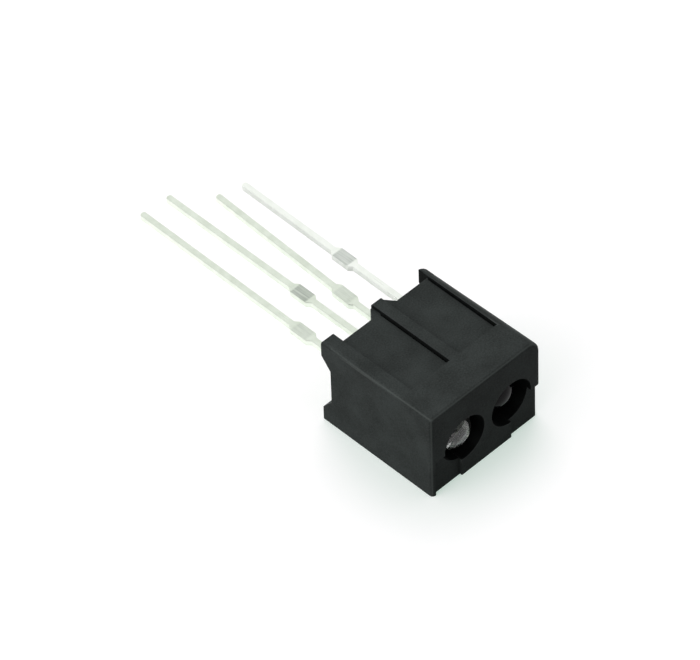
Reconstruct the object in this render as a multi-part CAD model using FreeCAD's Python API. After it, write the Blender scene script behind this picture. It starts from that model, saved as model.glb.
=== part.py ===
import FreeCAD, Part
import math
import os
from FreeCAD import Vector

# Infrared reflective sensor: a black moulded housing with two parallel bores, which hold a
# clear emitter and a dark detector side by side. Each device is an epoxy body cast round two
# stamped leads, a chip and a bond wire.
#
# The lenses look towards -Y and the leads leave the back towards +Y. The part rests on its
# base in the plane Z = 0, and the origin is the middle of the base. All sizes are in mm.

# Housing block
body_width = 10.7
body_depth = 9.8
body_height = 7.9
marked_edge_front_radius = 1.7
marked_edge_back_radius = 1.25
plain_edge_radius = 0.3
front_edge_radius = 0.28

# Feet that keep the block clear of the board it is soldered to
foot_standoff = 0.85
corner_foot_width = 1.13
top_foot_height = 1.4
top_foot_slant = 1.05
base_foot_height = 1.25
base_foot_slant = 1.0
foot_nose_radius = 0.12
key_foot_root = 2.4
key_foot_tip = 1.1
key_foot_radius = 0.3

# Ribs and pockets of the top
front_land = 3.03
pocket_depth = 0.31
pocket_ramp = 0.12
rim_width = 1.13
key_rib_width = 0.9

# Bores and the flange seats behind them
bore_pitch = 4.6
bore_offset = 0.2
bore_height = 3.5
bore_diameter = 3.85
bore_mouth_chamfer = 0.04
flange_clearance = 0.075

# Lowered panels at the foot of the front face, one outside each bore, deeper towards the top
panel_inner_edge = 2.45
panel_height = 3.3
panel_base_depth = 0.2
panel_top_depth = 0.4
panel_side_strip = 0.35
panel_corner_bevel = 0.3

# Epoxy bodies of the two devices
barrel_diameter = 3.5
flange_diameter = 4.15
flange_thickness = 1.0
flange_setback = 5.95
emitter_length = 5.8
detector_length = 5.45

# Stamped leads
lead_pitch = 2.54
lead_width = 0.5
lead_thickness = 0.5
lead_lift_start = 0.5
lead_lift_run = 1.9
lead_tip_bevel = 0.12
tie_stub_width = 1.0
tie_stub_length = 2.2
tie_stub_taper = 0.3
near_stub_distance = 2.8
far_stub_distance = 5.4
detector_stub_shift = 0.45
emitter_tail = 20.2
detector_tail = 17.2
emitter_lift = 0.75
detector_lift = 0.52
cathode_rise = 0.18
anode_rise = 0
collector_rise = 0.95
emitter_pin_rise = 0.26

# Lead ends inside the epoxy
post_length = 3.3
post_reach = 0.4
post_width = 0.4
carrier_length = 2.3
carrier_neck = 0.9
head_diameter = 1.0
head_length = 0.7
cup_depth = 0.3
cup_mouth_diameter = 0.84
cup_floor_diameter = 0.62

# Chips, die adhesive and bond wires
emitter_chip_size = 0.36
emitter_chip_height = 0.25
detector_chip_size = 0.56
detector_chip_height = 0.22
die_bond_thickness = 0.04
die_bond_margin = 0.03
bond_wire_diameter = 0.08
bond_wire_rise = 0.35
bond_wire_sides = 8

# Positions that follow from the sizes above
half_width = body_width / 2
front_y = -(body_depth + foot_standoff) / 2
back_y = front_y + body_depth
foot_y = back_y + foot_standoff
flange_back_y = front_y + flange_setback
flange_front_y = flange_back_y - flange_thickness
barrel_radius = barrel_diameter / 2
flange_radius = flange_diameter / 2
seat_radius = flange_radius + flange_clearance
emitter_x = bore_offset - bore_pitch / 2
detector_x = bore_offset + bore_pitch / 2
pocket_floor = body_height - pocket_depth
overcut = 1.0


def block(x0, x1, y0, y1, z0, z1):
    """A box between two corners."""
    return Part.makeBox(x1 - x0, y1 - y0, z1 - z0, Vector(x0, y0, z0))


def rod(radius, length, x, y, z):
    """A cylinder that runs from the point (x, y, z) towards +Y."""
    return Part.makeCylinder(radius, length, Vector(x, y, z), Vector(0, 1, 0))


def side_profile(points, x0, x1):
    """A solid with a closed (y, z) outline, from x0 to x1."""
    corners = [Vector(x0, y, z) for y, z in points]
    face = Part.Face(Part.makePolygon(corners + corners[:1]))
    return face.extrude(Vector(x1 - x0, 0, 0))


def plan_profile(points, z0, z1):
    """A solid with a closed (x, y) outline, from z0 to z1."""
    corners = [Vector(x, y, z0) for x, y in points]
    face = Part.Face(Part.makePolygon(corners + corners[:1]))
    return face.extrude(Vector(0, 0, z1 - z0))


def fuse_all(first, others):
    """One solid out of pieces that overlap or share faces."""
    return first.fuse(others).removeSplitter()


def edges_where(shape, test):
    """The straight edges of a shape whose two ends pass a test."""
    return [edge for edge in shape.Edges
            if len(edge.Vertexes) == 2 and all(test(v.Point) for v in edge.Vertexes)]


# Housing

def envelope():
    """The outer form over the whole depth: one long top edge rounded wide, which marks the
    detector's side, the other one small, and the front edges above the base smaller still."""
    form = block(-half_width, half_width, front_y, foot_y, 0, body_height)
    marked = long_top_edge(form, half_width)
    radii = marked_edge_front_radius, marked_edge_back_radius
    if marked.Vertexes[0].Point.y > marked.Vertexes[-1].Point.y:
        radii = radii[::-1]
    form = form.makeFillet(*radii, [marked])
    form = form.makeFillet(plain_edge_radius, [long_top_edge(form, -half_width)])
    front = edges_where(form, lambda p: abs(p.y - front_y) < 1e-6)
    return form.makeFillet(front_edge_radius, [e for e in front if e.BoundBox.ZMax > 1e-6])


def long_top_edge(form, x):
    """The edge that runs along the top of a block, on the side x."""
    return edges_where(
        form, lambda p: abs(p.x - x) < 1e-6 and abs(p.z - body_height) < 1e-6)[0]


def top_pocket(x0, x1):
    """A shallow pocket in the top, open at the back, with a steep end at its front."""
    start = front_y + front_land
    outline = [(start, body_height), (start + pocket_ramp, pocket_floor),
               (back_y + overcut, pocket_floor), (back_y + overcut, body_height + overcut),
               (start, body_height + overcut)]
    return side_profile(outline, x0, x1)


def top_foot(x0, x1, top):
    """A foot at the upper edge of the back, slanted underneath, from the given height down."""
    nose = foot_nose_radius
    under = body_height - top_foot_height
    outline = [(back_y - overcut, top), (foot_y - nose, top), (foot_y, top - nose),
               (foot_y, under), (back_y, under - top_foot_slant),
               (back_y - overcut, under - top_foot_slant)]
    return side_profile(outline, x0, x1)


def base_foot(x0, x1):
    """A foot at the lower edge of the back, slanted on top."""
    slant_top = base_foot_height + base_foot_slant
    outline = [(back_y - overcut, 0), (foot_y, 0), (foot_y, base_foot_height),
               (back_y, slant_top), (back_y - overcut, slant_top)]
    return side_profile(outline, x0, x1)


def key_foot():
    """The middle foot of the top: level with the pockets, and narrower towards its end."""
    root, tip = key_foot_root / 2, key_foot_tip / 2
    foot = top_foot(-root, root, pocket_floor)
    sides = plan_profile([(-root, back_y - overcut), (root, back_y - overcut), (root, back_y),
                          (tip, foot_y), (-tip, foot_y), (-root, back_y)], 0, body_height)
    corners = edges_where(sides, lambda p: abs(p.y - foot_y) < 1e-6)
    uprights = [edge for edge in corners if edge.BoundBox.ZLength > 1]
    return foot.common(sides.makeFillet(key_foot_radius, uprights))


def feet():
    """All six feet of the back, with the end of the middle rib."""
    inner = half_width - corner_foot_width
    spans = [(-half_width, -inner), (inner, half_width)]
    rib = key_rib_width / 2
    return ([top_foot(x0, x1, body_height) for x0, x1 in spans]
            + [base_foot(x0, x1) for x0, x1 in spans]
            + [key_foot(), top_foot(-rib, rib, body_height), base_foot(-rib, rib)])


def device_bore(x):
    """Everything cut for one device: bore, bevelled mouth and flange seat."""
    radius = bore_diameter / 2
    bore = rod(radius, body_depth, x, front_y, bore_height)
    mouth = Part.makeCone(radius + bore_mouth_chamfer, radius, bore_mouth_chamfer,
                          Vector(x, front_y, bore_height), Vector(0, 1, 0))
    seat = rod(seat_radius, back_y - flange_front_y + overcut, x, flange_front_y, bore_height)
    return bore.fuse([mouth, seat])


def front_panel(x0, x1):
    """A lowered panel at the foot of the front face."""
    outline = [(front_y - overcut, -overcut), (front_y + panel_base_depth, -overcut),
               (front_y + panel_base_depth, 0), (front_y + panel_top_depth, panel_height),
               (front_y - overcut, panel_height)]
    return side_profile(outline, x0, x1)


def panel_corner():
    """The bevel on the outer upright edge of the detector's panel."""
    start_x, start_y = half_width - panel_corner_bevel, front_y + panel_base_depth
    reach = panel_corner_bevel + overcut
    outline = [(start_x, start_y), (start_x + reach, start_y + reach),
               (start_x + reach, front_y - overcut), (start_x, front_y - overcut)]
    return plan_profile(outline, -overcut, panel_height)


def make_housing():
    """The moulded housing."""
    body = block(-half_width, half_width, front_y, back_y, 0, body_height)
    rim = half_width - rim_width
    rib = key_rib_width / 2
    body = body.cut([top_pocket(-rim, -rib), top_pocket(rib, rim)])
    body = fuse_all(body, feet()).common(envelope())
    body = body.cut([
        front_panel(-half_width + panel_side_strip, -panel_inner_edge),
        front_panel(panel_inner_edge, half_width + overcut), panel_corner()])
    body = body.cut([device_bore(emitter_x), device_bore(detector_x)])
    return body.removeSplitter()


# Leads

def lead_centreline(tail, lift, rise):
    """The (y, z) points of a lead: straight in the epoxy, lifted behind it, then the tail."""
    outside = bore_height + lift
    lift_start = flange_back_y + lead_lift_start
    lift_end = lift_start + lead_lift_run
    bend = foot_y + near_stub_distance
    return [(front_y, bore_height), (lift_start, bore_height),
            (lift_end, outside), (bend, outside), (foot_y + tail, outside + rise)]


def formed_strip(tail, lift, rise):
    """The sheet that a lead lies in, bent to its side view and wide enough for any lead."""
    line = lead_centreline(tail, lift, rise)
    half = lead_thickness / 2
    upper = [(y, z + half) for y, z in line]
    lower = [(y, z - half) for y, z in reversed(line)]
    return side_profile(upper + lower, -flange_diameter, flange_diameter)


def tail_outline(x, tail, stub_distance):
    """The stamped outline of a lead outside the epoxy, with its cut tie stub."""
    half, wide = lead_width / 2, tie_stub_width / 2
    stub_start = foot_y + stub_distance
    stub_end = stub_start + tie_stub_length
    tip = foot_y + tail
    right = [(x + half, flange_back_y), (x + half, stub_start),
             (x + wide, stub_start + tie_stub_taper), (x + wide, stub_end - tie_stub_taper),
             (x + half, stub_end), (x + half, tip - lead_tip_bevel),
             (x + half - lead_tip_bevel, tip)]
    left = [(2 * x - px, py) for px, py in reversed(right)]
    return right + left


def post_outline(x):
    """The plain lead inside the epoxy: a post whose end leans in to take the bond wire."""
    half = lead_width / 2
    end_y = flange_back_y - post_length
    knee_y = end_y + post_reach
    inner = x - half - post_reach
    return [(x + half, flange_back_y), (x - half, flange_back_y), (x - half, knee_y),
            (inner, end_y + post_width), (inner, end_y), (inner + post_width, end_y),
            (x + half, knee_y)]


def carrier_outline(x):
    """The chip lead inside the epoxy: a neck that crosses from the lead to the lens axis."""
    half = lead_width / 2
    end_y = flange_back_y - carrier_length
    return [(x - half, flange_back_y), (x + half, flange_back_y),
            (x + half, end_y + carrier_neck), (half, end_y + carrier_neck / 2), (half, end_y),
            (-half, end_y), (x - half, end_y + carrier_neck)]


def lead(outline, x, tail, stub_distance, lift, rise):
    """One stamped and formed lead, about the axis of its device."""
    low, high = 0, 2 * body_height
    blank = plan_profile(outline(x), low, high).fuse(
        plan_profile(tail_outline(x, tail, stub_distance), low, high))
    return blank.common(formed_strip(tail, lift, rise)).removeSplitter()


def carrier_head(lead_shape, cup):
    """The chip lead with its coined round head, hollowed to a reflector cup if asked."""
    head_back = flange_back_y - carrier_length
    head_front = head_back - head_length
    head = rod(head_diameter / 2, head_length, 0, head_front, bore_height)
    shape = fuse_all(lead_shape, [head])
    if cup:
        hollow = Part.makeCone(cup_mouth_diameter / 2, cup_floor_diameter / 2, cup_depth,
                               Vector(0, head_front, bore_height), Vector(0, 1, 0))
        shape = shape.cut(hollow)
    return shape


# Chip, die adhesive, bond wire and epoxy of one device

def square_pad(size, thickness, floor_y):
    """A square plate on the lens axis, standing on the plane y = floor_y towards the lens."""
    half = size / 2
    return block(-half, half, floor_y - thickness, floor_y,
                 bore_height - half, bore_height + half)


def bond_wire(chip_top_y, chip, post):
    """The arched wire from the middle of the chip to the end of the post."""
    post_x = lead_pitch / 2 - lead_width / 2 - post_reach + post_width / 2
    post_y = flange_back_y - post_length
    start = Vector(0, chip_top_y + bond_wire_diameter, bore_height)
    end = Vector(post_x, post_y + bond_wire_diameter, bore_height)
    top = Vector(post_x / 2, min(chip_top_y, post_y) - bond_wire_rise, bore_height)
    centre = Part.Arc(start, top, end).toShape().Curve.Center
    sweep = math.degrees(math.atan2(end.y - centre.y, end.x - centre.x)
                         - math.atan2(start.y - centre.y, start.x - centre.x)) % 360
    outward = (start - centre).normalize() * (bond_wire_diameter / 2)
    upward = Vector(0, 0, bond_wire_diameter / 2)
    turns = [2 * math.pi * i / bond_wire_sides for i in range(bond_wire_sides)]
    ring = [start + outward * math.cos(turn) + upward * math.sin(turn) for turn in turns]
    section = Part.Face(Part.makePolygon(ring + ring[:1]))
    wire = section.revolve(centre, Vector(0, 0, 1), sweep)
    return wire.cut([chip, post])


def epoxy_body(length):
    """The cast body: flange with one flat, barrel and dome, turned about the lens axis."""
    dome_centre = flange_back_y - length + barrel_radius
    tip = Vector(0, flange_back_y - length, 0)
    crown = Vector(barrel_radius * math.sqrt(0.5),
                   dome_centre - barrel_radius * math.sqrt(0.5), 0)
    shoulder = Vector(barrel_radius, dome_centre, 0)
    corners = [shoulder, Vector(barrel_radius, flange_front_y, 0),
               Vector(flange_radius, flange_front_y, 0), Vector(flange_radius, flange_back_y, 0),
               Vector(0, flange_back_y, 0), tip]
    dome = Part.Arc(tip, crown, shoulder).toShape()
    outline = Part.Wire([dome] + Part.makePolygon(corners).Edges)
    body = Part.Face(outline).revolve(Vector(0, 0, 0), Vector(0, 1, 0), 360)
    flat = block(-flange_diameter, -barrel_radius, flange_front_y - overcut,
                 flange_back_y + overcut, -flange_diameter, flange_diameter)
    body = body.cut(flat)
    body.translate(Vector(0, 0, bore_height))
    return body


def make_device(length, cup, tail, stub_shift, lift, carrier_rise, post_rise,
                chip_size, chip_height):
    """One device about its lens axis: epoxy, chip lead, post lead, chip, adhesive and wire."""
    half_pitch = lead_pitch / 2
    carrier = lead(carrier_outline, -half_pitch, tail, near_stub_distance + stub_shift,
                   lift, carrier_rise)
    carrier = carrier_head(carrier, cup)
    post = lead(post_outline, half_pitch, tail, far_stub_distance + stub_shift, lift, post_rise)
    floor_y = flange_back_y - carrier_length - head_length + (cup_depth if cup else 0)
    adhesive = square_pad(chip_size + 2 * die_bond_margin, die_bond_thickness, floor_y)
    chip = square_pad(chip_size, chip_height, floor_y - die_bond_thickness)
    chip_top_y = floor_y - die_bond_thickness - chip_height
    wire = bond_wire(chip_top_y, chip, post)
    epoxy = epoxy_body(length).cut([carrier, post, adhesive, chip, wire])
    return {"lens": epoxy, "carrier": carrier, "post": post,
            "chip": chip, "die_bond": adhesive, "bond_wire": wire}


def placed(pieces, x):
    """The pieces of a device, moved onto its bore."""
    for shape in pieces.values():
        shape.translate(Vector(x, 0, 0))
    return pieces


def make_part():
    """Every piece of the sensor, by name."""
    emitter = placed(make_device(
        emitter_length, True, emitter_tail, 0, emitter_lift, cathode_rise, anode_rise,
        emitter_chip_size, emitter_chip_height), emitter_x)
    detector = placed(make_device(
        detector_length, False, detector_tail, detector_stub_shift, detector_lift, collector_rise,
        emitter_pin_rise, detector_chip_size, detector_chip_height), detector_x)
    return {
        "housing": make_housing(),
        "emitter_lens": emitter["lens"],
        "emitter_cathode_lead": emitter["carrier"],
        "emitter_anode_lead": emitter["post"],
        "emitter_chip": emitter["chip"],
        "emitter_die_bond": emitter["die_bond"],
        "emitter_bond_wire": emitter["bond_wire"],
        "detector_lens": detector["lens"],
        "detector_collector_lead": detector["carrier"],
        "detector_emitter_lead": detector["post"],
        "detector_chip": detector["chip"],
        "detector_die_bond": detector["die_bond"],
        "detector_bond_wire": detector["bond_wire"],
    }


os.makedirs("parts", exist_ok=True)
for name, shape in make_part().items():
    solid = shape.Solids[0]
    print(name, "solids", len(shape.Solids), "valid", shape.isValid(),
          "volume", round(shape.Volume, 4), "faces", len(shape.Faces))
    solid.exportStep("parts/" + name + ".step")
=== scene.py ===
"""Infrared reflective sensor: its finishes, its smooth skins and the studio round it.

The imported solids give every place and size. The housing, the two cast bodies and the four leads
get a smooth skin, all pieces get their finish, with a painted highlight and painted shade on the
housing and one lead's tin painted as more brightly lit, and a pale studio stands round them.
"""

import logging
import math
from dataclasses import dataclass, replace
from enum import Enum

import bmesh
import bpy
from mathutils import Matrix, Vector


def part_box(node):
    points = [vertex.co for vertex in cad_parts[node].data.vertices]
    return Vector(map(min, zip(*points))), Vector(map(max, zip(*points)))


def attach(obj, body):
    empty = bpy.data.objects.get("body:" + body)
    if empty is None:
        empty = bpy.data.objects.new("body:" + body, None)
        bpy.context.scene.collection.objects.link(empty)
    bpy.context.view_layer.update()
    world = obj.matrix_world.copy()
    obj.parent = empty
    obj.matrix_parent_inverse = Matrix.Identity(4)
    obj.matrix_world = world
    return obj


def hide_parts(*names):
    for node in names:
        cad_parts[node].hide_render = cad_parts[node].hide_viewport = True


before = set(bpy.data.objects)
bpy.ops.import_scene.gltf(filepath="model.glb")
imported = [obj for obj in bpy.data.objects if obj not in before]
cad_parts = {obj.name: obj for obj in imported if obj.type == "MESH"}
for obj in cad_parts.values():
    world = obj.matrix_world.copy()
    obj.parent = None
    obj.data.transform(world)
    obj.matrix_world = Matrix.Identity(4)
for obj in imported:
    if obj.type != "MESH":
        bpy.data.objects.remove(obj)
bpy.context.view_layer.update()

MM = 0.001
BODY = "root"
MERGE_DISTANCE = 0.0005 * MM
FLAT_ANGLE = math.radians(0.5)
SHARP_ANGLE = math.radians(38)
# A face looks along an axis when its normal has at least this much of it.
FACING = 0.99

# A Mix node's sockets go by number, because their names repeat.
FACTOR = 0
VALUE_A, VALUE_B = 2, 3
COLOUR_A, COLOUR_B = 6, 7
MIXED_COLOUR = 2

log = logging.getLogger("sensor")


def linear(hex_colour: str) -> tuple[float, float, float, float]:
    """Turns an sRGB hex colour into linear light.

    Args:
        hex_colour: six hex digits, with a leading hash.

    Returns:
        Linear red, green, blue and an alpha of 1.
    """
    channels = [int(hex_colour[i:i + 2], 16) / 255 for i in (1, 3, 5)]
    red, green, blue = (c / 12.92 if c <= 0.04045 else ((c + 0.055) / 1.055) ** 2.4
                        for c in channels)
    return red, green, blue, 1.0


def per_metre(size_mm: float) -> float:
    """The texture scale at which a pattern repeats about once in a real size, in mm."""
    return 1 / (size_mm * MM)


def add_node(tree: bpy.types.NodeTree, kind: str, inputs: dict[str | int, object] | None = None,
             **settings: object) -> bpy.types.Node:
    """Adds one node with its settings, values and links.

    Args:
        tree: the node tree that takes the node.
        kind: the node's type.
        inputs: for each input, by name or number, its value or the socket that feeds it.
        **settings: the node's own properties.

    Returns:
        The new node.
    """
    node = tree.nodes.new(kind)
    for name, value in settings.items():
        setattr(node, name, value)
    for name, value in (inputs or {}).items():
        if isinstance(value, bpy.types.NodeSocket):
            tree.links.new(value, node.inputs[name])
        else:
            node.inputs[name].default_value = value
    return node


@dataclass(frozen=True)
class Finish:
    """What a surface is made of and how it was made."""

    title: str

    def shade(self, tree: bpy.types.NodeTree, place: bpy.types.NodeSocket) -> dict[str, object]:
        """Builds the finish's own pattern.

        Args:
            tree: the material's node tree.
            place: the object coordinates.

        Returns:
            The values and sockets for the surface shader.
        """
        raise NotImplementedError

    def material(self) -> bpy.types.Material:
        """Builds the material, with one surface shader.

        Returns:
            The material, named by the finish's title.
        """
        material = bpy.data.materials.new(self.title)
        material.use_nodes = True
        tree = material.node_tree
        tree.nodes.clear()
        place = add_node(tree, "ShaderNodeTexCoord").outputs["Object"]
        surface = add_node(tree, "ShaderNodeBsdfPrincipled", self.shade(tree, place))
        add_node(tree, "ShaderNodeOutputMaterial", {"Surface": surface.outputs["BSDF"]})
        return material


@dataclass(frozen=True)
class MouldedBlackPlastic(Finish):
    """Black moulded PBT from a spark-eroded cavity: matt, with a fine pebbled skin.

    Its rounded edges carry a painted highlight, paler than the plastic. Its bores and the pockets'
    walls are painted fully black as shade.
    """

    title: str = "black_pbt_spark_eroded"
    dark: str = "#2b2e2d"
    light: str = "#393d3c"
    grain_mm: float = 0.11
    grain_depth_mm: float = 0.006
    grain_strength: float = 0.6
    cloud_mm: float = 2.6
    mottle_low: float = 0.75
    mottle_high: float = 1.25
    roughness_low: float = 0.5
    roughness_high: float = 0.62
    specular: float = 0.02
    ior: float = 1.5
    # A painted highlight in this paler colour lies on the rounded edges, and fades out at the
    # feet.
    painted_highlight: str = "#5b605e"
    painted_highlight_share: float = 0.34
    painted_highlight_start: float = 0.1
    painted_highlight_full: float = 0.25
    feet_start_mm: float = 4.4
    feet_fade_mm: float = 0.05
    # The bores and the pockets' left-facing walls are painted in this black as shade.
    painted_shade_black: str = "#000000"
    bore_axes: tuple[tuple[float, float], ...] = ()
    bore_radius_mm: float = 1.925
    bore_fade_mm: float = 0.03
    bore_shade_share: float = 0.85
    wall_planes: tuple[float, ...] = ()
    wall_reach_mm: float = 0.01
    wall_facing_full: float = -0.95
    wall_facing_none: float = -0.85
    wall_shade_share: float = 0.8

    def shade(self, tree: bpy.types.NodeTree, place: bpy.types.NodeSocket) -> dict[str, object]:
        """Pebbled grain as bump, and slow clouds in tone and gloss from the melt's flow.

        Args:
            tree: the material's node tree.
            place: the object coordinates.

        Returns:
            The values and sockets for the surface shader.
        """
        # The true grit is about 0.05 mm. It is drawn coarser, or the render wouldn't show it.
        grain = add_node(tree, "ShaderNodeTexNoise",
                         {"Vector": place, "Scale": per_metre(self.grain_mm), "Detail": 3.0})
        bump = add_node(tree, "ShaderNodeBump", {
            "Height": grain.outputs["Fac"], "Strength": self.grain_strength,
            "Distance": self.grain_depth_mm * MM})
        cloud = add_node(tree, "ShaderNodeTexNoise",
                         {"Vector": place, "Scale": per_metre(self.cloud_mm), "Detail": 2.0})
        mottle = add_node(tree, "ShaderNodeMath", {
            0: cloud.outputs["Fac"], 1: grain.outputs["Fac"]}, operation="ADD")
        spread = add_node(tree, "ShaderNodeMapRange", {
            "Value": mottle.outputs[0], "From Min": self.mottle_low,
            "From Max": self.mottle_high})
        tone = add_node(tree, "ShaderNodeMix", {
            FACTOR: spread.outputs["Result"], COLOUR_A: linear(self.dark),
            COLOUR_B: linear(self.light)}, data_type="RGBA")
        # A painted highlight on the rounded edges.
        edge_highlight_and_stub_grey = add_node(tree, "ShaderNodeMix", {
            FACTOR: self.painted_edge_highlight(tree, place), COLOUR_A: tone.outputs[MIXED_COLOUR],
            COLOUR_B: linear(self.painted_highlight)}, data_type="RGBA")
        # Painted shade: the bores and the pockets' left-facing walls go black.
        inside = add_node(tree, "ShaderNodeMath", {
            0: self.bore_painted_shade(tree, place), 1: self.wall_painted_shade(tree, place)},
            operation="MAXIMUM")
        shaded = add_node(tree, "ShaderNodeMix", {
            FACTOR: inside.outputs[0], COLOUR_A: edge_highlight_and_stub_grey.outputs[MIXED_COLOUR],
            COLOUR_B: linear(self.painted_shade_black)}, data_type="RGBA")
        gloss = add_node(tree, "ShaderNodeMapRange", {
            "Value": cloud.outputs["Fac"],
            "To Min": self.roughness_low, "To Max": self.roughness_high})
        return {"Base Color": shaded.outputs[MIXED_COLOUR],
                "Roughness": gloss.outputs["Result"], "Normal": bump.outputs["Normal"],
                "Specular IOR Level": self.specular, "IOR": self.ior}

    def painted_edge_highlight(self, tree: bpy.types.NodeTree,
                         place: bpy.types.NodeSocket) -> bpy.types.NodeSocket:
        """Finds the rounded edges of the block, where no axis lies along the surface's normal.

        Args:
            tree: the material's node tree.
            place: the object coordinates.

        Returns:
            How much painted highlight a place gets, which is 0 on the flats and on the slanted
            feet.
        """
        facing = add_node(tree, "ShaderNodeTexCoord").outputs["Normal"]
        size = add_node(tree, "ShaderNodeVectorMath", {0: facing}, operation="ABSOLUTE")
        parts = add_node(tree, "ShaderNodeSeparateXYZ", {0: size.outputs[0]})
        side = add_node(tree, "ShaderNodeMath", {
            0: parts.outputs["X"], 1: parts.outputs["Y"]}, operation="MAXIMUM")
        squareness = add_node(tree, "ShaderNodeMath", {
            0: side.outputs[0], 1: parts.outputs["Z"]}, operation="MAXIMUM")
        painted_highlight = add_node(tree, "ShaderNodeMapRange", {
            "Value": squareness.outputs[0], "From Min": 1 - self.painted_highlight_start,
            "From Max": 1 - self.painted_highlight_full, "To Max": self.painted_highlight_share})
        along = add_node(tree, "ShaderNodeSeparateXYZ", {0: place}).outputs["Y"]
        block = add_node(tree, "ShaderNodeMapRange", {
            "Value": along, "From Min": self.feet_start_mm * MM,
            "From Max": (self.feet_start_mm + self.feet_fade_mm) * MM,
            "To Min": 1.0, "To Max": 0.0})
        return add_node(tree, "ShaderNodeMath", {
            0: painted_highlight.outputs["Result"], 1: block.outputs["Result"]},
            operation="MULTIPLY").outputs[0]

    def bore_painted_shade(self, tree: bpy.types.NodeTree,
                 place: bpy.types.NodeSocket) -> bpy.types.NodeSocket:
        """Finds the bores' walls by their distance from the bores' axes.

        Args:
            tree: the material's node tree.
            place: the object coordinates.

        Returns:
            How much painted shade a place gets for being inside a bore.
        """
        level = add_node(tree, "ShaderNodeVectorMath", {
            0: place, 1: (1.0, 0.0, 1.0)}, operation="MULTIPLY")
        # The search starts farther away, in metres, than any place on the housing.
        nearest = 1.0
        for x, z in self.bore_axes:
            away = add_node(tree, "ShaderNodeVectorMath", {
                0: level.outputs[0], 1: (x, 0.0, z)}, operation="DISTANCE").outputs["Value"]
            nearest = add_node(tree, "ShaderNodeMath", {
                0: nearest, 1: away}, operation="MINIMUM").outputs[0]
        return add_node(tree, "ShaderNodeMapRange", {
            "Value": nearest, "From Min": self.bore_radius_mm * MM,
            "From Max": (self.bore_radius_mm + self.bore_fade_mm) * MM,
            "To Min": self.bore_shade_share, "To Max": 0.0}).outputs["Result"]

    def wall_painted_shade(self, tree: bpy.types.NodeTree,
                        place: bpy.types.NodeSocket) -> bpy.types.NodeSocket:
        """Finds the pockets' walls that look to the left, in the planes given.

        Args:
            tree: the material's node tree.
            place: the object coordinates.

        Returns:
            How much painted shade a place gets for being on such a wall.
        """
        across = add_node(tree, "ShaderNodeSeparateXYZ", {0: place}).outputs["X"]
        in_plane = 0.0
        for plane in self.wall_planes:
            near = add_node(tree, "ShaderNodeMath", {
                0: across, 1: plane, 2: self.wall_reach_mm * MM},
                operation="COMPARE").outputs[0]
            in_plane = add_node(tree, "ShaderNodeMath", {
                0: in_plane, 1: near}, operation="MAXIMUM").outputs[0]
        normal = add_node(tree, "ShaderNodeTexCoord").outputs["Normal"]
        facing = add_node(tree, "ShaderNodeSeparateXYZ", {0: normal}).outputs["X"]
        leftward = add_node(tree, "ShaderNodeMapRange", {
            "Value": facing, "From Min": self.wall_facing_full,
            "From Max": self.wall_facing_none, "To Min": self.wall_shade_share, "To Max": 0.0})
        return add_node(tree, "ShaderNodeMath", {
            0: leftward.outputs["Result"], 1: in_plane}, operation="MULTIPLY").outputs[0]


@dataclass(frozen=True)
class CastEpoxy(Finish):
    """Epoxy cast in a polished cup: a wet gloss over a clear or a nearly black body."""

    title: str
    colour: str
    transmission: float
    roughness: float
    specular: float = 0.5
    ior: float = 1.53
    ripple_mm: float = 0.9
    ripple_depth_mm: float = 0.002
    ripple_strength: float = 0.4

    def shade(self, tree: bpy.types.NodeTree, place: bpy.types.NodeSocket) -> dict[str, object]:
        """The slow ripple that shrinking leaves on a cast face.

        Args:
            tree: the material's node tree.
            place: the object coordinates.

        Returns:
            The values and sockets for the surface shader.
        """
        ripple = add_node(tree, "ShaderNodeTexNoise",
                          {"Vector": place, "Scale": per_metre(self.ripple_mm), "Detail": 1.0})
        bump = add_node(tree, "ShaderNodeBump", {
            "Height": ripple.outputs["Fac"], "Strength": self.ripple_strength,
            "Distance": self.ripple_depth_mm * MM})
        return {"Base Color": linear(self.colour), "Roughness": self.roughness,
                "Transmission Weight": self.transmission, "IOR": self.ior,
                "Specular IOR Level": self.specular, "Normal": bump.outputs["Normal"]}


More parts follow.
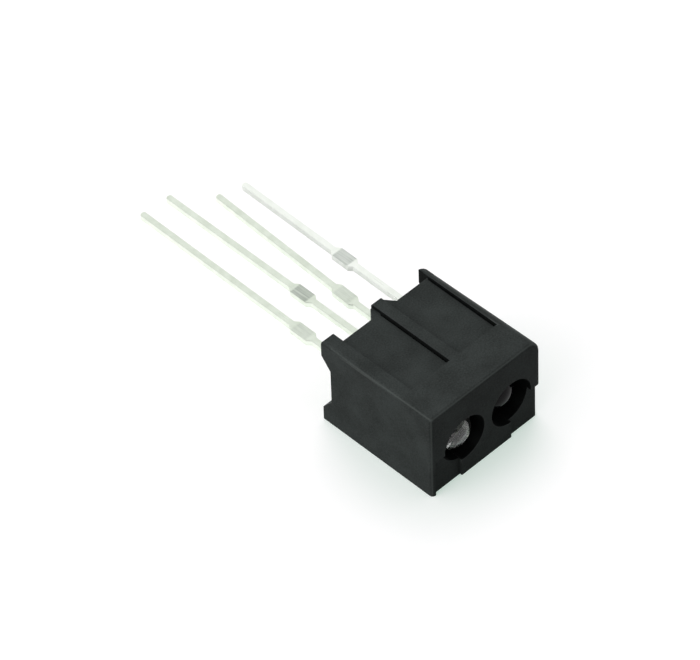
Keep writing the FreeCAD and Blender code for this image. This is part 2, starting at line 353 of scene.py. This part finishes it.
@dataclass(frozen=True)
class TinPlate(Finish):
    """Bright tin plate on stamped strip: silvery, with fine rolling lines along the strip.

    The upper flat of each stub is drawn greyer.
    """

    title: str = "bright_tin_plate"
    light: str = "#f2faed"
    dull: str = "#e5eedf"
    line_mm: float = 0.07
    line_length_mm: float = 2.5
    line_depth_mm: float = 0.004
    line_strength: float = 0.5
    blotch_mm: float = 0.8
    blotch_low: float = 0.35
    blotch_high: float = 0.7
    roughness_low: float = 0.22
    roughness_high: float = 0.42
    metallic: float = 1.0
    # The upper flat of each stub is drawn greyer, in this colour.
    stub_grey: str = "#8d968f"
    stub_grey_from: float = 0.0
    stub_grey_to: float = 0.0
    stub_grey_fade_mm: float = 0.2
    stub_grey_share: float = 0.2

    def shade(self, tree: bpy.types.NodeTree, place: bpy.types.NodeSocket) -> dict[str, object]:
        """Rolling lines along Y as bump, and dull blotches where the tin is thin.

        Args:
            tree: the material's node tree.
            place: the object coordinates.

        Returns:
            The values and sockets for the surface shader.
        """
        stretched = add_node(tree, "ShaderNodeMapping", {
            "Vector": place, "Scale": (1.0, self.line_mm / self.line_length_mm, 1.0)})
        lines = add_node(tree, "ShaderNodeTexNoise", {
            "Vector": stretched.outputs["Vector"], "Scale": per_metre(self.line_mm),
            "Detail": 2.0})
        bump = add_node(tree, "ShaderNodeBump", {
            "Height": lines.outputs["Fac"], "Strength": self.line_strength,
            "Distance": self.line_depth_mm * MM})
        blotch = add_node(tree, "ShaderNodeTexNoise",
                          {"Vector": place, "Scale": per_metre(self.blotch_mm), "Detail": 3.0})
        spread = add_node(tree, "ShaderNodeMapRange", {
            "Value": blotch.outputs["Fac"], "From Min": self.blotch_low,
            "From Max": self.blotch_high})
        tone = add_node(tree, "ShaderNodeMix", {
            FACTOR: spread.outputs["Result"], COLOUR_A: linear(self.light),
            COLOUR_B: linear(self.dull)}, data_type="RGBA")
        # The stubs' upper flats are drawn greyer.
        # The lines' noise lies round a half, so it is doubled to keep the share as given.
        stub_greyed = add_node(tree, "ShaderNodeMath", {
            0: self.on_stub(tree, place, 2 * self.stub_grey_share), 1: lines.outputs["Fac"]},
            operation="MULTIPLY")
        edge_highlight_and_stub_grey = add_node(tree, "ShaderNodeMix", {
            FACTOR: stub_greyed.outputs[0], COLOUR_A: tone.outputs[MIXED_COLOUR],
            COLOUR_B: linear(self.stub_grey)}, data_type="RGBA")
        gloss = add_node(tree, "ShaderNodeMapRange", {
            "Value": lines.outputs["Fac"],
            "To Min": self.roughness_low, "To Max": self.roughness_high})
        return {"Base Color": edge_highlight_and_stub_grey.outputs[MIXED_COLOUR], "Roughness": gloss.outputs["Result"],
                "Metallic": self.metallic, "Normal": bump.outputs["Normal"]}

    def on_stub(self, tree: bpy.types.NodeTree, place: bpy.types.NodeSocket,
                most: float) -> bpy.types.NodeSocket:
        """Finds the upper flat of the stub, which is drawn greyer.

        Args:
            tree: the material's node tree.
            place: the object coordinates.
            most: the value in the middle of the stub.

        Returns:
            How much a place is on that flat.
        """
        fade = self.stub_grey_fade_mm * MM
        along = add_node(tree, "ShaderNodeSeparateXYZ", {0: place}).outputs["Y"]
        starts = add_node(tree, "ShaderNodeMapRange", {
            "Value": along, "From Min": self.stub_grey_from,
            "From Max": self.stub_grey_from + fade, "To Max": most})
        ends = add_node(tree, "ShaderNodeMapRange", {
            "Value": along, "From Min": self.stub_grey_to - fade,
            "From Max": self.stub_grey_to, "To Min": 1.0, "To Max": 0.0})
        facing = add_node(tree, "ShaderNodeTexCoord").outputs["Normal"]
        upward = add_node(tree, "ShaderNodeSeparateXYZ", {0: facing}).outputs["Z"]
        inside = add_node(tree, "ShaderNodeMath", {
            0: starts.outputs["Result"], 1: ends.outputs["Result"]}, operation="MULTIPLY")
        return add_node(tree, "ShaderNodeMath", {
            0: inside.outputs[0], 1: upward}, operation="MULTIPLY", use_clamp=True).outputs[0]


@dataclass(frozen=True)
class SawnWafer(Finish):
    """A semiconductor die sawn from its wafer: dark, glassy on top, finely scored at the sides."""

    title: str = "sawn_semiconductor"
    dark: str = "#3a3c42"
    light: str = "#5a5d66"
    score_mm: float = 0.03
    score_depth_mm: float = 0.001
    score_strength: float = 0.3
    metallic: float = 0.6
    roughness: float = 0.22

    def shade(self, tree: bpy.types.NodeTree, place: bpy.types.NodeSocket) -> dict[str, object]:
        """Saw scores as fine noise in tone and bump.

        Args:
            tree: the material's node tree.
            place: the object coordinates.

        Returns:
            The values and sockets for the surface shader.
        """
        score = add_node(tree, "ShaderNodeTexNoise",
                         {"Vector": place, "Scale": per_metre(self.score_mm), "Detail": 2.0})
        tone = add_node(tree, "ShaderNodeMix", {
            FACTOR: score.outputs["Fac"], COLOUR_A: linear(self.dark),
            COLOUR_B: linear(self.light)}, data_type="RGBA")
        bump = add_node(tree, "ShaderNodeBump", {
            "Height": score.outputs["Fac"], "Strength": self.score_strength,
            "Distance": self.score_depth_mm * MM})
        return {"Base Color": tone.outputs[MIXED_COLOUR], "Metallic": self.metallic,
                "Roughness": self.roughness, "Normal": bump.outputs["Normal"]}


@dataclass(frozen=True)
class SilverAdhesive(Finish):
    """Epoxy filled with silver flakes: grey, grainy and half dull."""

    title: str = "silver_filled_adhesive"
    binder: str = "#8b8b86"
    flake: str = "#d4d4d0"
    flake_mm: float = 0.02
    metallic: float = 0.7
    roughness: float = 0.5

    def shade(self, tree: bpy.types.NodeTree, place: bpy.types.NodeSocket) -> dict[str, object]:
        """Flakes as small cells of lighter metal in the binder.

        Args:
            tree: the material's node tree.
            place: the object coordinates.

        Returns:
            The values and sockets for the surface shader.
        """
        cells = add_node(tree, "ShaderNodeTexVoronoi",
                         {"Vector": place, "Scale": per_metre(self.flake_mm)})
        tone = add_node(tree, "ShaderNodeMix", {
            FACTOR: cells.outputs["Distance"], COLOUR_A: linear(self.flake),
            COLOUR_B: linear(self.binder)}, data_type="RGBA")
        return {"Base Color": tone.outputs[MIXED_COLOUR], "Metallic": self.metallic,
                "Roughness": self.roughness}


@dataclass(frozen=True)
class DrawnGold(Finish):
    """Drawn gold wire: warm, smooth and bright, with drawing lines too fine to see one by one."""

    title: str = "drawn_gold_wire"
    colour: str = "#e8c069"
    shadow: str = "#cf9f45"
    line_mm: float = 0.02
    roughness: float = 0.2

    def shade(self, tree: bpy.types.NodeTree, place: bpy.types.NodeSocket) -> dict[str, object]:
        """A slight unevenness in tone from the drawing die.

        Args:
            tree: the material's node tree.
            place: the object coordinates.

        Returns:
            The values and sockets for the surface shader.
        """
        lines = add_node(tree, "ShaderNodeTexNoise",
                         {"Vector": place, "Scale": per_metre(self.line_mm), "Detail": 1.0})
        tone = add_node(tree, "ShaderNodeMix", {
            FACTOR: lines.outputs["Fac"], COLOUR_A: linear(self.colour),
            COLOUR_B: linear(self.shadow)}, data_type="RGBA")
        return {"Base Color": tone.outputs[MIXED_COLOUR], "Metallic": 1.0,
                "Roughness": self.roughness}


def merged_copy(node: str) -> bmesh.types.BMesh:
    """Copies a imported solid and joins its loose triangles.

    Args:
        node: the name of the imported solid.

    Returns:
        Its mesh, with each flat stretch as one face.
    """
    skin = bmesh.new()
    skin.from_mesh(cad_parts[node].data)
    bmesh.ops.remove_doubles(skin, verts=skin.verts, dist=MERGE_DISTANCE)
    bmesh.ops.dissolve_limit(skin, angle_limit=FLAT_ANGLE, verts=skin.verts, edges=skin.edges)
    return skin


def round_edges(skin: bmesh.types.BMesh, radius_mm: float, segments: int,
                chosen: list[bmesh.types.BMEdge]) -> None:
    """Rounds edges of a skin.

    Args:
        skin: the mesh.
        radius_mm: how far the rounding reaches from the edge, in mm.
        segments: the steps across it.
        chosen: the edges.
    """
    bmesh.ops.bevel(skin, geom=chosen, offset=radius_mm * MM, offset_type="OFFSET",
                    segments=segments, profile=0.5, affect="EDGES", material=-1,
                    clamp_overlap=False)


def sharp_edges(skin: bmesh.types.BMesh) -> list[bmesh.types.BMEdge]:
    """The edges at which a skin turns sharply."""
    return [edge for edge in skin.edges
            if len(edge.link_faces) == 2 and edge.calc_face_angle(0) > SHARP_ANGLE]


def open_edges(skin: bmesh.types.BMesh) -> list[bmesh.types.BMEdge]:
    """The edges round a skin's openings."""
    return [edge for edge in skin.edges if len(edge.link_faces) == 1]


def cut_away(skin: bmesh.types.BMesh, place: tuple[float, float, float],
             side: tuple[float, float, float]) -> None:
    """Cuts away what lies beyond a plane, and leaves the cut open.

    Args:
        skin: the mesh.
        place: a point of the plane.
        side: the direction from the plane to what goes.
    """
    bmesh.ops.bisect_plane(skin, geom=skin.verts[:] + skin.edges[:] + skin.faces[:],
                           plane_co=place, plane_no=side, clear_outer=True,
                           dist=MERGE_DISTANCE)


def draw_out(skin: bmesh.types.BMesh, drop: float, scale: float) -> None:
    """Draws the open rim of a round skin downwards and outwards, as one more wall.

    Args:
        skin: the mesh, with its axis on Z.
        drop: how far the rim goes down, in metres.
        scale: how much wider it gets.
    """
    wall = bmesh.ops.extrude_edge_only(skin, edges=open_edges(skin))["geom"]
    rim = [part for part in wall if isinstance(part, bmesh.types.BMVert)]
    bmesh.ops.scale(skin, verts=rim, vec=(scale, scale, 1.0))
    bmesh.ops.translate(skin, verts=rim, vec=(0.0, 0.0, -drop))


def add_piece(name: str, skin: bmesh.types.BMesh, material: bpy.types.Material,
              node: str) -> None:
    """Turns a skin into a piece of the sensor, which rides on its body.

    Args:
        name: the piece's name.
        skin: its mesh, in the frame's own place.
        material: its finish.
        node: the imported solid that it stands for.
    """
    mesh = bpy.data.meshes.new(name)
    skin.to_mesh(mesh)
    skin.free()
    mesh.shade_smooth()
    mesh.set_sharp_from_angle(angle=SHARP_ANGLE)
    mesh.materials.append(material)
    piece = bpy.data.objects.new(name, mesh)
    bpy.context.scene.collection.objects.link(piece)
    even = piece.modifiers.new("even_normals", "WEIGHTED_NORMAL")
    even.keep_sharp = True
    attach(piece, BODY)
    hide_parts(node)
    log.info("%s: %d faces, finish %s", name, len(mesh.polygons), material.name)


def dress_node(node: str, material: bpy.types.Material) -> None:
    """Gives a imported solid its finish, where it stays as it is.

    Args:
        node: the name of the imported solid.
        material: its finish.
    """
    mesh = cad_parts[node].data
    mesh.materials.clear()
    mesh.materials.append(material)
    log.info("%s: finish %s", node, material.name)


@dataclass
class Housing:
    """The moulded block with its two bores, ribs and feet."""

    finish: MouldedBlackPlastic
    crease_width_mm: float = 0.1
    crease_depth_mm: float = 0.2
    crease_front_gap_mm: float = 0.2
    crease_back_gap_mm: float = 0.1
    pocket_least_depth_mm: float = 0.1
    pocket_lowest_share: float = 0.5
    pocket_length_mm: float = 3.0
    side_rib_mm: float = 1.0
    foot_length_mm: float = 0.85

    def pocket_floor(self, skin: bmesh.types.BMesh) -> float:
        """Finds the pockets' floors, the largest level faces a little below the very top.

        Args:
            skin: the housing's mesh.

        Returns:
            Their height, in metres.
        """
        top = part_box("housing")[1].z
        highest = top - self.pocket_least_depth_mm * MM
        level = [face for face in skin.faces if face.normal.z > FACING
                 and self.pocket_lowest_share * top < face.calc_center_median().z < highest]
        return max(level, key=bmesh.types.BMFace.calc_area).calc_center_median().z

    def pocket_walls(self, skin: bmesh.types.BMesh, floor: float) -> list[tuple[float, float]]:
        """Finds each pocket's wall on the detector's side.

        Args:
            skin: the housing's mesh.
            floor: the height of the pockets' floors.

        Returns:
            For each wall its x, and where it starts in y.
        """
        walls = []
        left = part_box("housing")[0].x + self.side_rib_mm * MM
        for face in skin.faces:
            ys = [vert.co.y for vert in face.verts]
            if (face.normal.x < -FACING and face.verts[0].co.x > left
                    and max(vert.co.z for vert in face.verts) > floor + MERGE_DISTANCE
                    and max(ys) - min(ys) > self.pocket_length_mm * MM):
                walls.append((face.verts[0].co.x, min(ys)))
        return walls

    def cut_crease(self, skin: bmesh.types.BMesh, x: float, z: float, front: float) -> None:
        """Sinks the narrow crease that runs along the foot of a pocket's wall.

        Args:
            skin: the housing's mesh.
            x: the wall's place.
            z: the height of the pocket's floor.
            front: where the wall starts in y.
        """
        left = x - self.crease_width_mm * MM
        start = front + self.crease_front_gap_mm * MM
        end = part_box("housing")[1].y - (self.foot_length_mm + self.crease_back_gap_mm) * MM
        floors = [face for face in skin.faces if face.normal.z > FACING
                  and abs(face.calc_center_median().z - z) < MERGE_DISTANCE
                  and any(abs(vert.co.x - x) < MERGE_DISTANCE for vert in face.verts)]
        for place, side in (((left, 0, 0), (1, 0, 0)), ((0, start, 0), (0, 1, 0)),
                            ((0, end, 0), (0, 1, 0))):
            edges = {edge for face in floors for edge in face.edges}
            verts = {vert for face in floors for vert in face.verts}
            cut = bmesh.ops.bisect_plane(skin, geom=floors + list(edges) + list(verts),
                                         plane_co=place, plane_no=side, dist=MERGE_DISTANCE)
            floors = [part for part in cut["geom"] if isinstance(part, bmesh.types.BMFace)]
        strip = [face for face in floors if left < face.calc_center_median().x < x
                 and start < face.calc_center_median().y < end]
        sunk = bmesh.ops.extrude_face_region(skin, geom=strip)["geom"]
        bmesh.ops.delete(skin, geom=[face for face in strip if face.is_valid],
                         context="FACES_ONLY")
        bmesh.ops.translate(skin, vec=(0, 0, -self.crease_depth_mm * MM),
                            verts=[part for part in sunk if isinstance(part, bmesh.types.BMVert)])

    def build(self) -> None:
        """Builds the housing's smooth skin, with a crease along each pocket's wall."""
        skin = merged_copy("housing")
        floor = self.pocket_floor(skin)
        walls = self.pocket_walls(skin, floor)
        for x, front in walls:
            log.info("crease at x %.5f, z %.5f, from y %.5f", x, floor, front)
            self.cut_crease(skin, x, floor, front)
        # The finish paints these walls black as shade.
        plastic = replace(self.finish, wall_planes=tuple(x for x, _ in walls))
        add_piece("moulded_housing", skin, plastic.material(), "housing")


class DeviceKind(Enum):
    """The two devices, by the word that starts their pieces' names."""

    EMITTER = "emitter"
    DETECTOR = "detector"


@dataclass
class Device:
    """One epoxy-cast device with its two leads, chip, adhesive and bond wire.

    Its tin is the finish of the chip's lead and then that of the wire's lead.
    """

    kind: DeviceKind
    epoxy: bpy.types.Material
    epoxy_slot: str
    tin: tuple[TinPlate, TinPlate]
    chip: bpy.types.Material
    adhesive: bpy.types.Material
    gold: bpy.types.Material
    flange_thickness_mm: float = 1.0
    dome_segments: int = 96
    dome_rings: int = 48
    lead_edge_mm: float = 0.04
    lead_edge_steps: int = 2
    lead_tail_mm: float = 1.0
    seated_length_mm: float = 1.0
    stub_share: float = 0.75

    def name(self, piece: str) -> str:
        """The full name of one of the device's pieces."""
        return f"{self.kind.value}_{piece}"

    def lead_names(self) -> tuple[str, str]:
        """Tells the two leads' packed names.

        Returns:
            The names of the chip's lead and of the wire's lead.
        """
        if self.kind is DeviceKind.EMITTER:
            return "emitter_cathode_lead", "emitter_anode_lead"
        return "detector_collector_lead", "detector_emitter_lead"

    def axis(self) -> tuple[float, float]:
        """The x and z of the device's axis, which is its bore's axis too."""
        low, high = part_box(self.name("lens"))
        return high.x - (high.z - low.z) / 2, (high.z + low.z) / 2

    def build_lens(self) -> None:
        """The cast body: a dome, drawn out to the barrel and the flange with its one flat."""
        low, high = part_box(self.name("lens"))
        axis_x, axis_z = self.axis()
        flange = high.x - axis_x
        barrel = axis_x - low.x
        length = high.y - low.y
        thickness = self.flange_thickness_mm * MM
        skin = bmesh.new()
        bmesh.ops.create_uvsphere(skin, u_segments=self.dome_segments,
                                  v_segments=self.dome_rings, radius=barrel)
        cut_away(skin, (0, 0, 0), (0, 0, -1))
        for drop, scale in ((length - barrel - thickness, 1.0), (0.0, flange / barrel),
                            (thickness, 1.0)):
            draw_out(skin, drop, scale)
        bmesh.ops.holes_fill(skin, edges=open_edges(skin), sides=0)
        cut_away(skin, (-barrel, 0, 0), (-1, 0, 0))
        bmesh.ops.holes_fill(skin, edges=open_edges(skin), sides=0)
        bmesh.ops.rotate(skin, verts=skin.verts, matrix=Matrix.Rotation(math.pi / 2, 3, "X"))
        bmesh.ops.translate(skin, verts=skin.verts, vec=(axis_x, low.y + barrel, axis_z))
        bmesh.ops.recalc_face_normals(skin, faces=skin.faces)
        add_piece(self.name("cast_body"), skin, self.epoxy, self.name("lens"))

    def plate(self, skin: bmesh.types.BMesh, tin: TinPlate) -> bpy.types.Material:
        """Builds a lead's tin plate, greyer on top where the lead is widest outside the housing.

        Args:
            skin: the lead's mesh.
            tin: its finish, without the stub's place.

        Returns:
            The material, with the stub's place measured from the mesh.
        """
        tip = max(vert.co.y for vert in skin.verts)
        tail = [vert.co.x for vert in skin.verts if vert.co.y > tip - self.lead_tail_mm * MM]
        middle = (min(tail) + max(tail)) / 2
        reach = self.stub_share * (max(tail) - min(tail))
        housing_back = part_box("housing")[1].y
        stub = [vert.co.y for vert in skin.verts
                if abs(vert.co.x - middle) > reach and vert.co.y > housing_back]
        return replace(tin, stub_grey_from=min(stub), stub_grey_to=max(stub)).material()

    def build_lead(self, node: str, tin: TinPlate) -> None:
        """Builds one lead, with its stamped edges rounded where they show.

        Args:
            node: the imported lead's name.
            tin: the lead's finish.
        """
        skin = merged_copy(node)
        plate = self.plate(skin, tin)
        shown_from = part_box(self.name("lens"))[1].y - self.seated_length_mm * MM
        shown = [edge for edge in sharp_edges(skin)
                 if all(vert.co.y > shown_from for vert in edge.verts)]
        round_edges(skin, self.lead_edge_mm, self.lead_edge_steps, shown)
        add_piece(node + "_plated", skin, plate, node)

    def build(self) -> None:
        """Builds and dresses every piece of the device."""
        self.build_lens()
        for node, tin in zip(self.lead_names(), self.tin):
            self.build_lead(node, tin)
        dress_node(self.name("chip"), self.chip)
        dress_node(self.name("die_bond"), self.adhesive)
        dress_node(self.name("bond_wire"), self.gold)


@dataclass
class Studio:
    """A pale floor, a pale sky with one window, a soft lamp and the camera that took the view.

    Places and sizes are in metres, except where a name ends in mm.
    """

    floor_size: float = 1.6
    floor_colour: str = "#e1cbd8"
    floor_glow: str = "#9eb8aa"
    floor_bounce: str = "#7c7e7d"
    sky_colour: str = "#ffffff"
    sky_side: tuple[float, float, float] = (0.45, 0.5, 0.74)
    sky_dark: float = 0.03
    sky_dark_until: float = -0.4
    sky_bright: float = 0.86
    sky_bright_from: float = 0.9
    window_side: tuple[float, float, float] = (-0.97, 0.2, 0.14)
    window_strength: float = 3.6
    window_narrowness: float = 5.0
    lamp_place: tuple[float, float, float] = (0.28, 0.3, 0.5)
    lamp_size: float = 0.5
    lamp_watts: float = 1.3
    camera_distance: float = 0.418447
    camera_target_mm: tuple[float, float, float] = (-0.922, 7.032, 4.338)
    camera_right: tuple[float, float, float] = (0.70779306, -0.70600043, -0.02433902)
    camera_up: tuple[float, float, float] = (0.5307235, 0.50870061, 0.67790579)
    camera_lens_mm: float = 308.57
    camera_sensor_mm: float = 36.0
    camera_nearest: float = 0.01

    def pale_floor_material(self) -> bpy.types.Material:
        """Builds a matt pale floor that shows as white, and still takes the sensor's shadow.

        Returns:
            The material, which throws only a grey bounce on the sensor.
        """
        material = bpy.data.materials.new("pale_studio_floor")
        material.use_nodes = True
        tree = material.node_tree
        tree.nodes.clear()
        seen = self.seen_by_eye(tree)
        colour = add_node(tree, "ShaderNodeMix", {
            FACTOR: seen, COLOUR_A: linear(self.floor_bounce),
            COLOUR_B: linear(self.floor_colour)}, data_type="RGBA")
        matt = add_node(tree, "ShaderNodeBsdfDiffuse", {"Color": colour.outputs[MIXED_COLOUR]})
        glow = add_node(tree, "ShaderNodeEmission",
                        {"Color": linear(self.floor_glow), "Strength": seen})
        total = add_node(tree, "ShaderNodeAddShader", {0: matt.outputs[0], 1: glow.outputs[0]})
        add_node(tree, "ShaderNodeOutputMaterial", {"Surface": total.outputs[0]})
        return material

    def seen_by_eye(self, tree: bpy.types.NodeTree) -> bpy.types.NodeSocket:
        """Tells the rays that end in the eye from those that only carry light.

        Args:
            tree: the node tree.

        Returns:
            1 for camera, mirror and glass rays, and 0 for all others.
        """
        path = add_node(tree, "ShaderNodeLightPath")
        mirror = add_node(tree, "ShaderNodeMath", {
            0: path.outputs["Is Camera Ray"], 1: path.outputs["Is Glossy Ray"]},
            operation="ADD")
        return add_node(tree, "ShaderNodeMath", {
            0: mirror.outputs[0], 1: path.outputs["Is Transmission Ray"]},
            operation="ADD", use_clamp=True).outputs[0]

    def build_floor(self) -> None:
        """The floor, a large square whose edge no view reaches."""
        sheet = bmesh.new()
        bmesh.ops.create_grid(sheet, x_segments=1, y_segments=1, size=self.floor_size / 2)
        mesh = bpy.data.meshes.new("floor")
        sheet.to_mesh(mesh)
        sheet.free()
        mesh.materials.append(self.pale_floor_material())
        floor = bpy.data.objects.new("floor", mesh)
        bpy.context.scene.collection.objects.link(floor)

    def build_world(self) -> None:
        """The sky: white to the camera, and for light and mirrors brightest above and behind.

        Matt surfaces are also lit by a window at the left, which mirrors and glass don't show.
        """
        world = bpy.data.worlds.new("studio")
        bpy.context.scene.world = world
        world.use_nodes = True
        tree = world.node_tree
        tree.nodes.clear()
        direction = add_node(tree, "ShaderNodeTexCoord").outputs["Generated"]
        behind = add_node(tree, "ShaderNodeVectorMath", {
            0: direction, 1: self.sky_side}, operation="DOT_PRODUCT")
        sky = add_node(tree, "ShaderNodeMapRange", {
            "Value": behind.outputs["Value"], "From Min": self.sky_dark_until,
            "From Max": self.sky_bright_from, "To Min": self.sky_dark,
            "To Max": self.sky_bright})
        left = add_node(tree, "ShaderNodeVectorMath", {
            0: direction, 1: self.window_side}, operation="DOT_PRODUCT")
        facing = add_node(tree, "ShaderNodeMath", {
            0: left.outputs["Value"], 1: 0.0}, operation="MAXIMUM")
        window = add_node(tree, "ShaderNodeMath", {
            0: facing.outputs[0], 1: self.window_narrowness}, operation="POWER")
        lit = add_node(tree, "ShaderNodeMath", {
            0: window.outputs[0], 1: self.window_strength, 2: sky.outputs["Result"]},
            operation="MULTIPLY_ADD")
        light = add_node(tree, "ShaderNodeMix", {
            FACTOR: self.seen_by_eye(tree), VALUE_A: lit.outputs[0],
            VALUE_B: sky.outputs["Result"]})
        camera = add_node(tree, "ShaderNodeLightPath").outputs["Is Camera Ray"]
        strength = add_node(tree, "ShaderNodeMix", {
            FACTOR: camera, VALUE_A: light.outputs[0], VALUE_B: 1.0})
        back = add_node(tree, "ShaderNodeBackground", {
            "Color": linear(self.sky_colour), "Strength": strength.outputs[0]})
        add_node(tree, "ShaderNodeOutputWorld", {"Surface": back.outputs[0]})

    def build_lamp(self) -> None:
        """The soft square lamp that looks at the sensor. Tin and clear epoxy don't mirror it."""
        data = bpy.data.lights.new("overhead_softbox", "AREA")
        data.size = self.lamp_size
        data.energy = self.lamp_watts
        lamp = bpy.data.objects.new("overhead_softbox", data)
        lamp.visible_glossy = False
        lamp.visible_transmission = False
        lamp.location = self.lamp_place
        lamp.rotation_euler = Vector(self.lamp_place).to_track_quat("Z", "Y").to_euler()
        bpy.context.scene.collection.objects.link(lamp)

    def build_camera(self) -> None:
        """The long-lens camera, where the photograph was taken from."""
        right, up = Vector(self.camera_right), Vector(self.camera_up)
        back = right.cross(up)
        data = bpy.data.cameras.new("camera")
        data.lens = self.camera_lens_mm
        data.sensor_width = self.camera_sensor_mm
        data.clip_start = self.camera_nearest
        camera = bpy.data.objects.new("camera", data)
        turn = Matrix((right, up, back)).transposed().to_4x4()
        target = Vector(self.camera_target_mm) * MM
        camera.matrix_world = Matrix.Translation(target + back * self.camera_distance) @ turn
        bpy.context.scene.collection.objects.link(camera)
        bpy.context.scene.camera = camera

    def build(self) -> None:
        """Builds the floor, the sky, the lamp and the camera."""
        self.build_floor()
        self.build_world()
        self.build_lamp()
        self.build_camera()
        bpy.context.scene.view_settings.view_transform = "Standard"


def main() -> None:
    """Builds the sensor and its studio."""
    logging.basicConfig(level=logging.INFO, format="%(name)s: %(message)s")
    tin = TinPlate()
    stub_greyed_tin = TinPlate("stub_greyed_tin_plate", stub_grey_share=0.7)
    # A lighter, less metallic copy of the same tin, painted as more brightly lit, for the
    # detector's wire lead.
    lit_copy_tin = TinPlate("lit_copy_tin_plate", light="#f5f9f3", dull="#eef3eb",
                         metallic=0.3, stub_grey_share=0.7)
    clear = CastEpoxy("clear_cast_epoxy", colour="#f8faf9", transmission=0.97,
                      roughness=0.045).material()
    dark = CastEpoxy("daylight_blocking_epoxy", colour="#0a090d", transmission=0.0,
                     roughness=0.12, specular=0.08).material()
    inner = (SawnWafer().material(), SilverAdhesive().material(), DrawnGold().material())
    emitter = Device(DeviceKind.EMITTER, clear, "clear_epoxy", (tin, stub_greyed_tin), *inner)
    detector = Device(DeviceKind.DETECTOR, dark, "dark_epoxy", (tin, lit_copy_tin), *inner)
    Housing(MouldedBlackPlastic(bore_axes=(emitter.axis(), detector.axis()))).build()
    emitter.build()
    detector.build()
    Studio().build()


if __name__ == "__main__":
    main()
